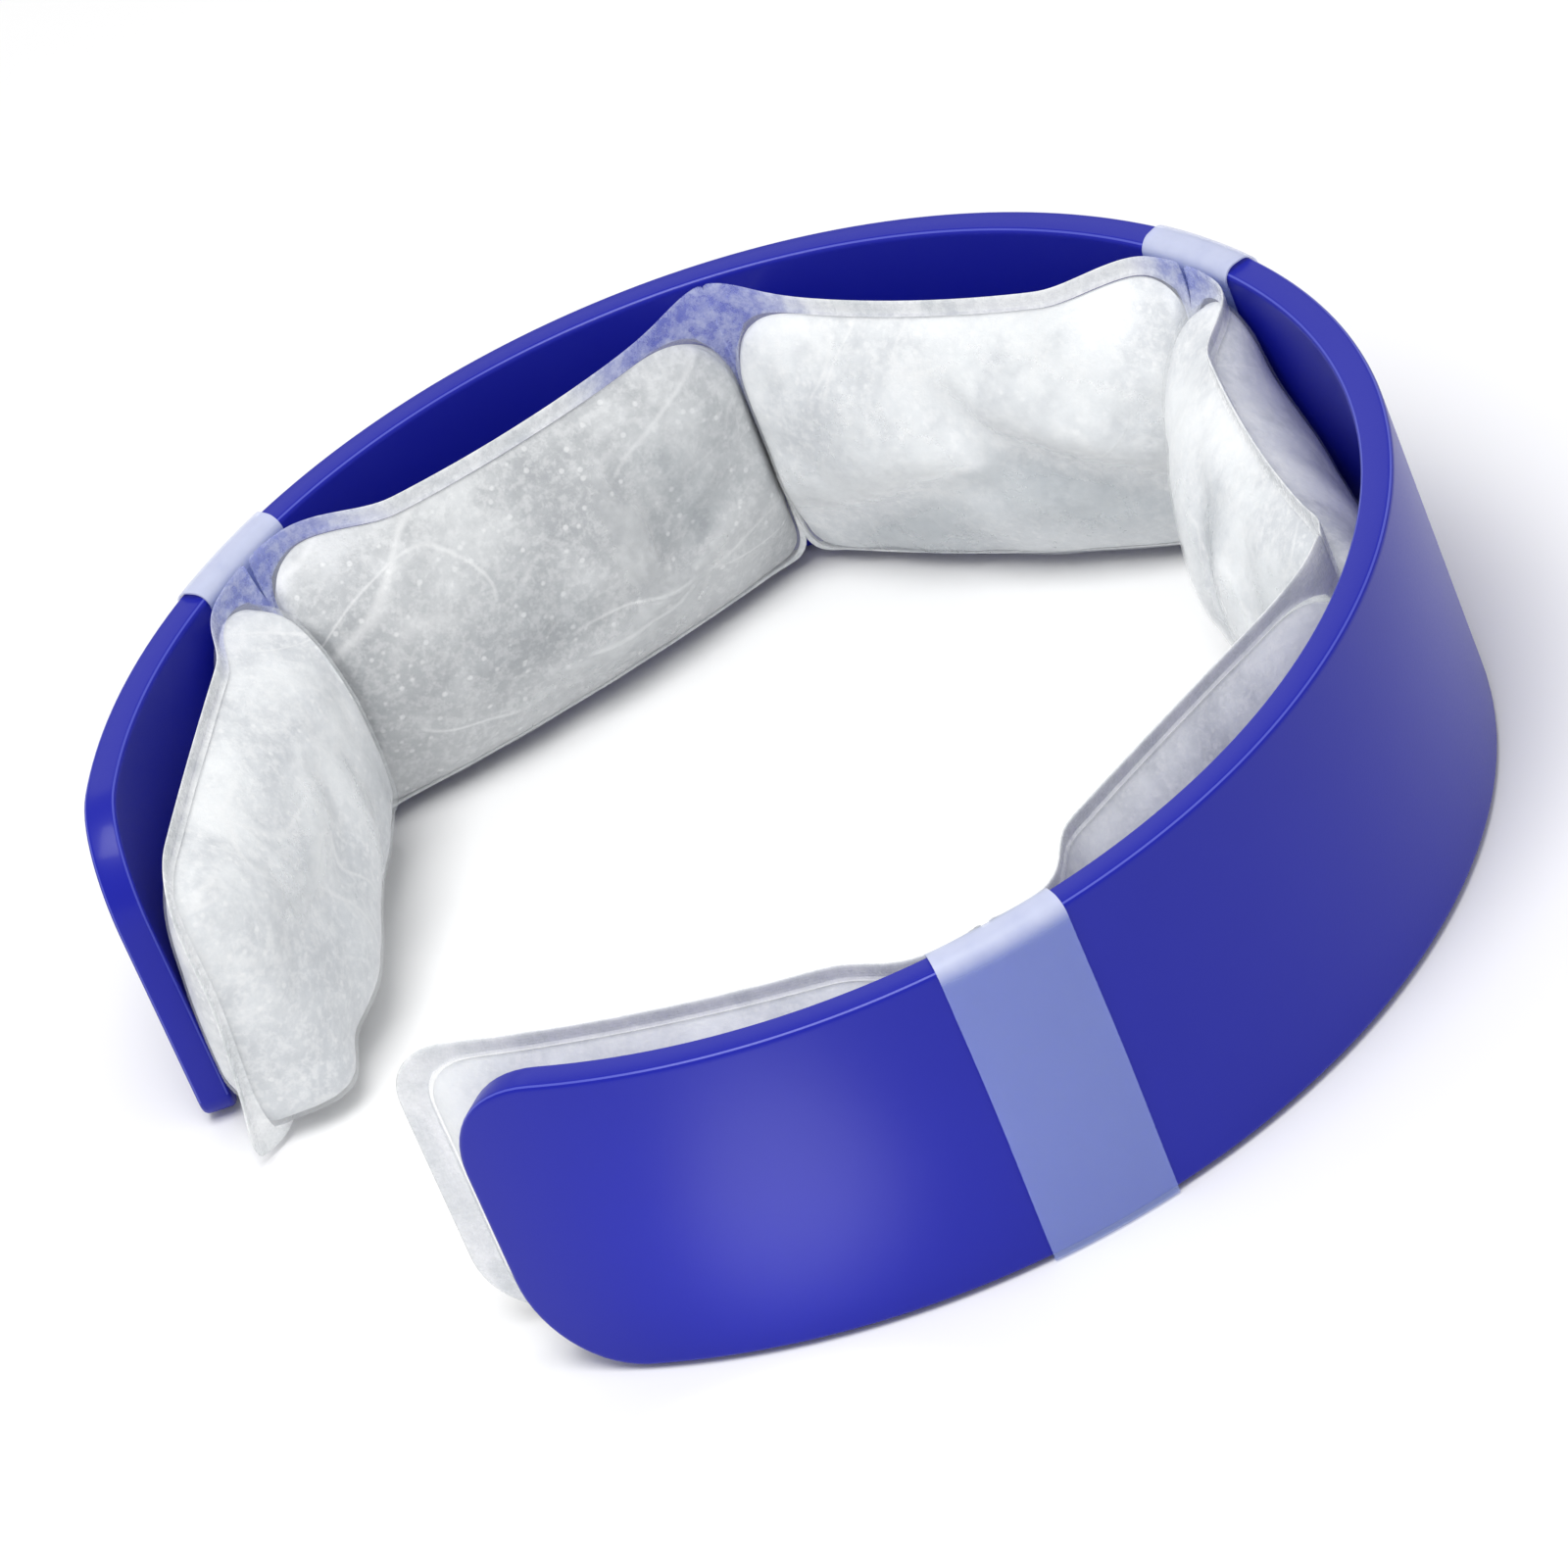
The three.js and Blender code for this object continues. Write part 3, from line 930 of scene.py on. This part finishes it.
def blow_up(obj):
    """Runs the cloth simulation on a mesh pinned by its group "pins"."""
    cloth = obj.modifiers.new("cloth", "CLOTH")
    settings = cloth.settings
    settings.vertex_group_mass = "pins"
    settings.quality = 8
    settings.mass = 0.3
    settings.tension_stiffness = 25
    settings.compression_stiffness = 25
    settings.shear_stiffness = 12
    settings.bending_stiffness = 1.2
    settings.tension_damping = 8
    settings.compression_damping = 8
    settings.shear_damping = 8
    settings.air_damping = 2
    settings.use_pressure = True
    settings.uniform_pressure_force = SIM_PRESSURE
    settings.shrink_min = SIM_SPARE
    settings.effector_weights.gravity = 0
    cloth.collision_settings.use_collision = False
    cloth.collision_settings.use_self_collision = False
    cloth.point_cache.frame_start = 1
    cloth.point_cache.frame_end = SIM_FRAMES
    for number in range(1, SIM_FRAMES + 1):
        bpy.context.scene.frame_set(number)


def folded(cell, flat):
    """How far folds and slack lower each point of the skin side, and its veil: white where the film is
    lapped beside a fold, and painted shade, grey, on the fold's other side."""
    depth = np.zeros(len(flat))
    white = np.zeros(len(flat))
    clear = np.zeros(len(flat))
    for number, start, end, deep, wide in FOLDS:
        if number != cell.number:
            continue
        start, end = np.array(start) * MM, np.array(end) * MM
        along = end - start
        normal = np.array([-along[1], along[0]]) / np.linalg.norm(along)
        share = np.clip((flat - start) @ along / (along @ along), 0, 1)
        line = start + share[:, None] * along
        line[:, 1] += 1.5 * MM * np.sin(7 * share + number)
        far = np.linalg.norm(flat - line, axis=1) / (wide * MM)
        across = (flat - line) @ normal / (wide * MM)
        fade = np.sin(math.pi * np.clip(share * 0.9 + 0.05, 0, 1)) ** 0.5
        groove = np.exp(-far ** 2) - 0.6 * np.exp(-(far ** 2 + 1 - 2 * across))
        depth += FOLD_SCALE * deep * fade * groove
        lapped = smoothstep(0.45, 0.65, across) * np.exp(-np.clip(across - 0.6, 0, None) / 1.4)
        held = deep * np.sin(math.pi * share)
        white = np.maximum(white, FOLD_WHITE * held * lapped)
        # Painted shade on the fold's other side.
        below = smoothstep(0.3, -0.9, across) * np.exp(-np.clip(-across - 1, 0, None) / 2.2)
        clear = np.maximum(clear, FOLD_SHADE * held * below)
    ridge = 1 - np.abs(waves(flat, SLACK_SIZE, 40 + cell.number))
    slack = SLACK_DEPTH * np.clip(ridge, 0, 1) ** 4
    return depth + slack, white - clear * smoothstep(0.2, 0, white)


def smoothed(sheet, times):
    """A sheet with its fine puckers smoothed out, its rim left alone."""
    grid = sheet.reshape(ACROSS + 1, UP + 1, 3).copy()
    for _ in range(times):
        around = grid[2:, 1:-1] + grid[:-2, 1:-1] + grid[1:-1, 2:] + grid[1:-1, :-2]
        grid[1:-1, 1:-1] = (grid[1:-1, 1:-1] + around) / 5
    return grid.reshape(-1, 3)


def full_pockets(cell, sheets):
    """Gives blown sheets the cell's crowns and folds, lets the gel sink and presses it out over the
    welds. Returns the skin side, the band side and the skin side's veil with its painted fold shade."""
    pocket = []
    for sheet, crown, side in zip(sheets, (cell.skin_crown, cell.band_crown), (-1, 1)):
        sheet = smoothed(sheet, SMOOTHING[cell.number - 1])
        off = np.clip(side * sheet[:, 1], 0, None)
        off *= crown / np.percentile(off, 98)
        x, z = sheet[:, 0].copy(), sheet[:, 2].copy()
        share = np.clip(off / crown, 0, 1)
        toe = cell.toe(x, z) if side < 0 else np.zeros(len(x))
        power = FULLNESS[cell.number - 1] - TOE_FULLNESS * toe
        off = np.where(off < crown, crown * share ** power, off)
        off *= 1 + TOE_SWELL * toe + BELLY_SWELL * (side < 0) * cell.belly(x, z)
        if side < 0:
            depth, veil_and_shade = folded(cell, sheet[:, [0, 2]])
            off -= depth * smoothstep(0.15, 0.7, share)
        for end, seam in cell.seams.items():
            if seam is not None:
                away = cell.half - end * sheet[:, 0]
                x += end * SEAM_BULGE * off * (1 - smoothstep(3 * MM, 12 * MM, away))
        low = sheet[:, 2] + PACK_HALF
        bulge = LOW_BULGE * np.sqrt(share) * (1 - smoothstep(0, LOW_REACH, low))
        z -= GEL_SAGS[cell.number - 1] * share + bulge
        # The gel squashes softly where it would sink through the level the pack stands at.
        over = (z + PACK_HALF + LOW_SPARE) / LOW_SOFT
        squashed = np.where(over < 1, np.exp(np.minimum(over, 1) - 1), over)
        z = LOW_SOFT * squashed - PACK_HALF - LOW_SPARE
        pocket.append(np.column_stack([x, side * off, z]))
    return pocket + [veil_and_shade]


def cell_film(cell, skin, band, veil_and_shade, materials):
    """The film of one cell: both face sheets and the flat welded margin round them, one closed skin."""
    rim = len(RIM)
    skin, band = skin.copy(), band.copy()
    skin[RIM, 1] = -WELD_HALF
    band[RIM, 1] = WELD_HALF
    points = [skin, band]
    for share in MARGIN_RINGS:
        ring = cell.pocket + share * (cell.edge - cell.pocket)
        for y in (-WELD_HALF, WELD_HALF):
            points.append(np.column_stack([ring[:, 0], np.full(rim, y), ring[:, 1]]))
    points = np.concatenate(points)
    faces = pocket_faces()
    pocket_count = len(faces)
    sides = [(RIM, COUNT + RIM)]
    for ring in range(len(MARGIN_RINGS)):
        first = 2 * COUNT + 2 * ring * rim + np.arange(rim)
        sides.append((first, first + rim))
    for near, far in zip(sides, sides[1:]):
        for a, b in zip(near, far):
            faces += [(a[k], a[k - 1], b[k - 1], b[k]) for k in range(rim)]
    a, b = sides[-1]
    faces += [(a[k], a[k - 1], b[k - 1], b[k]) for k in range(rim)]
    slots = [0] * pocket_count + [1] * (len(faces) - pocket_count)
    uv = points[:, [0, 2]] / MM
    shaped = cell.placed(cell.shaped(points))
    obj = mesh_object(f"cell_{cell.number}_film", shaped, faces, materials, slots, uv)
    # The skin side's veil, with its painted fold shade, and 0 on every other point.
    veil_and_shade_points = np.concatenate([veil_and_shade, np.zeros(len(points) - len(veil_and_shade))])
    obj.data.attributes.new("veil_and_shade", "FLOAT", "POINT").data.foreach_set("value", veil_and_shade_points)
    return subdivide(obj)


def cell_gel(cell, skin, band, material):
    """The gel of one cell: the pocket's shape, a little smaller."""
    thick = (band[:, 1] - skin[:, 1]) / 2
    centre = (band + skin) / 2
    keep = np.clip(thick - GEL_GAP, GEL_LEAST, None)[:, None] * (0, 1, 0)
    points = np.concatenate([centre - keep, centre + keep])
    middle = np.array([0, 0, GEL_MIDDLE])
    shrink = (1 - GEL_SHRINK / cell.half, 1, 1 - GEL_SHRINK / PACK_HALF)
    points = middle + (points - middle) * shrink
    faces = pocket_faces()
    faces += [(RIM[k], RIM[k - 1], COUNT + RIM[k - 1], COUNT + RIM[k]) for k in range(len(RIM))]
    shaped = cell.placed(cell.shaped(points, GEL_GAP))
    return subdivide(mesh_object(f"cell_{cell.number}_gel_fill", shaped, faces, [material]))


def make_pack(film, weld):
    cells = [Cell(number) for number in range(1, len(WELDS))]
    for cell, sheets in zip(cells, pillows(cells)):
        number = cell.number
        skin, band, veil_and_shade = full_pockets(cell, sheets)
        film_obj = cell_film(cell, skin, band, veil_and_shade, [film, weld])
        gel_obj = cell_gel(cell, skin, band, gel_material(number))
        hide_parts(f"cell_{number}_skin_film", f"cell_{number}_band_film")
        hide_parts(f"cell_{number}_gel")
        for obj in (film_obj, gel_obj):
            hang(obj, cell)


# Cells whose weld bends at a joint: the neighbour's body, the end of the cell where it is, and where
# the film starts and stops following it, as distances from the weld.
BENDS = {
    1: ("left_arm", 1, 17 * MM, 6 * MM),
    2: ("back", 1, 4 * MM, 0),
    5: ("back", -1, 4 * MM, 0),
    6: ("right_arm", -1, 17 * MM, 6 * MM),
}


def hang(obj, cell):
    """A cell follows its own body; a cell beside a weld that a joint bends has its transform baked in
    instead.
    """
    body = CELL_BODIES[cell.number - 1]
    if cell.number not in BENDS:
        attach(obj, body)
        return
    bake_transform(obj)


def make_band(materials):
    """Both halves of the band, each with its transform baked in."""
    left = band_half("band_left", 1, materials)
    right = band_half("band_right", -1, materials)
    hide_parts("band_back", "band_left_arm")
    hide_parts("band_right_arm")
    for obj, body, side in ((left, "left_arm", 1), (right, "right_arm", -1)):
        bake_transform(obj)


def make_loops(material):
    bodies = {"left": "left_arm", "back": "back", "right": "right_arm"}
    for side, body in bodies.items():
        obj = film_loop(f"loop_{side}", LOOP_ANGLES[side], material)
        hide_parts(f"film_loop_{side}")
        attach(obj, body)


make_band([
    band_plastic("band_plastic", (0.004, 0.008, 0.325, 1), (0.007, 0.012, 0.355, 1)),
    # A lighter copy of the band's plastic: the painted highlight along the top edges.
    band_plastic("band_edge_painted_highlight", (0.04, 0.05, 0.46, 1), (0.11, 0.13, 0.56, 1)),
])
make_loops(loop_film())
make_pack(pack_film(), weld_film())


# ---------------------------------------------------------------- floor and light
FLOOR_SIZE = 6.0
WORLD_STRENGTH = 0.58

# Soft lights: name, where, what they aim at, width and height, watts.
LIGHTS = [
    ("overhead", (0.3, -0.3, 1.25), (0, 0, 0), (0.75, 0.75), 12.0),
    ("rear", (-1.4, 0.6, 1.05), (0, 0, 0.05), (0.9, 0.6), 1.2),
]

# Narrow lamps straight above the floor beside the band, which mirrors the bright floor there:
# name, where the band's wall mirrors it (angle), how far out and along it lies, its radius, watts.
POOLS = [
    ("front pool", -125, 42 * MM, -9 * MM, 36 * MM, 130.0),
]
POOL_LAMP_HEIGHT = 1.0
POOL_LAMP_SIZE = 0.01


def make_floor():
    nodes = Nodes("floor")
    nodes.set(
        Base_Color=nodes.mix(nodes.noise(nodes.place, 3), grey(0.93), grey(0.95)),
        Roughness=0.9,
        Specular_IOR_Level=0.0,
    )
    half = FLOOR_SIZE / 2
    corners = [(-half, -half, 0), (half, -half, 0), (half, half, 0), (-half, half, 0)]
    mesh_object("floor", corners, [(0, 1, 2, 3)], [nodes.material])


def make_light():
    world = bpy.data.worlds.new("studio")
    bpy.context.scene.world = world
    world.use_nodes = True
    background = world.node_tree.nodes["Background"]
    background.inputs["Color"].default_value = (1, 1, 1, 1)
    background.inputs["Strength"].default_value = WORLD_STRENGTH
    for name, spot, target, size, power in LIGHTS:
        data = bpy.data.lights.new(name, "AREA")
        data.shape = "RECTANGLE"
        data.size, data.size_y = size
        data.energy = power
        lamp = add_lamp(name, data, spot)
        lamp.rotation_euler = (Vector(target) - Vector(spot)).to_track_quat("-Z", "Y").to_euler()
    for name, angle, out, along, radius, power in POOLS:
        data = bpy.data.lights.new(name, "SPOT")
        data.energy = power
        data.shadow_soft_size = POOL_LAMP_SIZE
        data.spot_size = 2 * math.atan(radius / POOL_LAMP_HEIGHT)
        data.spot_blend = 1.0
        x, y, _ = on_ring(BAND_RADIUS + out, angle, 0)
        turn = math.radians(angle)
        spot = (x - along * math.cos(turn), y - along * math.sin(turn), POOL_LAMP_HEIGHT)
        add_lamp(name, data, spot)


def add_lamp(name, data, spot):
    lamp = bpy.data.objects.new(name, data)
    lamp.location = spot
    bpy.context.scene.collection.objects.link(lamp)
    return lamp


make_floor()
make_light()
bpy.context.scene.view_settings.view_transform = "Standard"
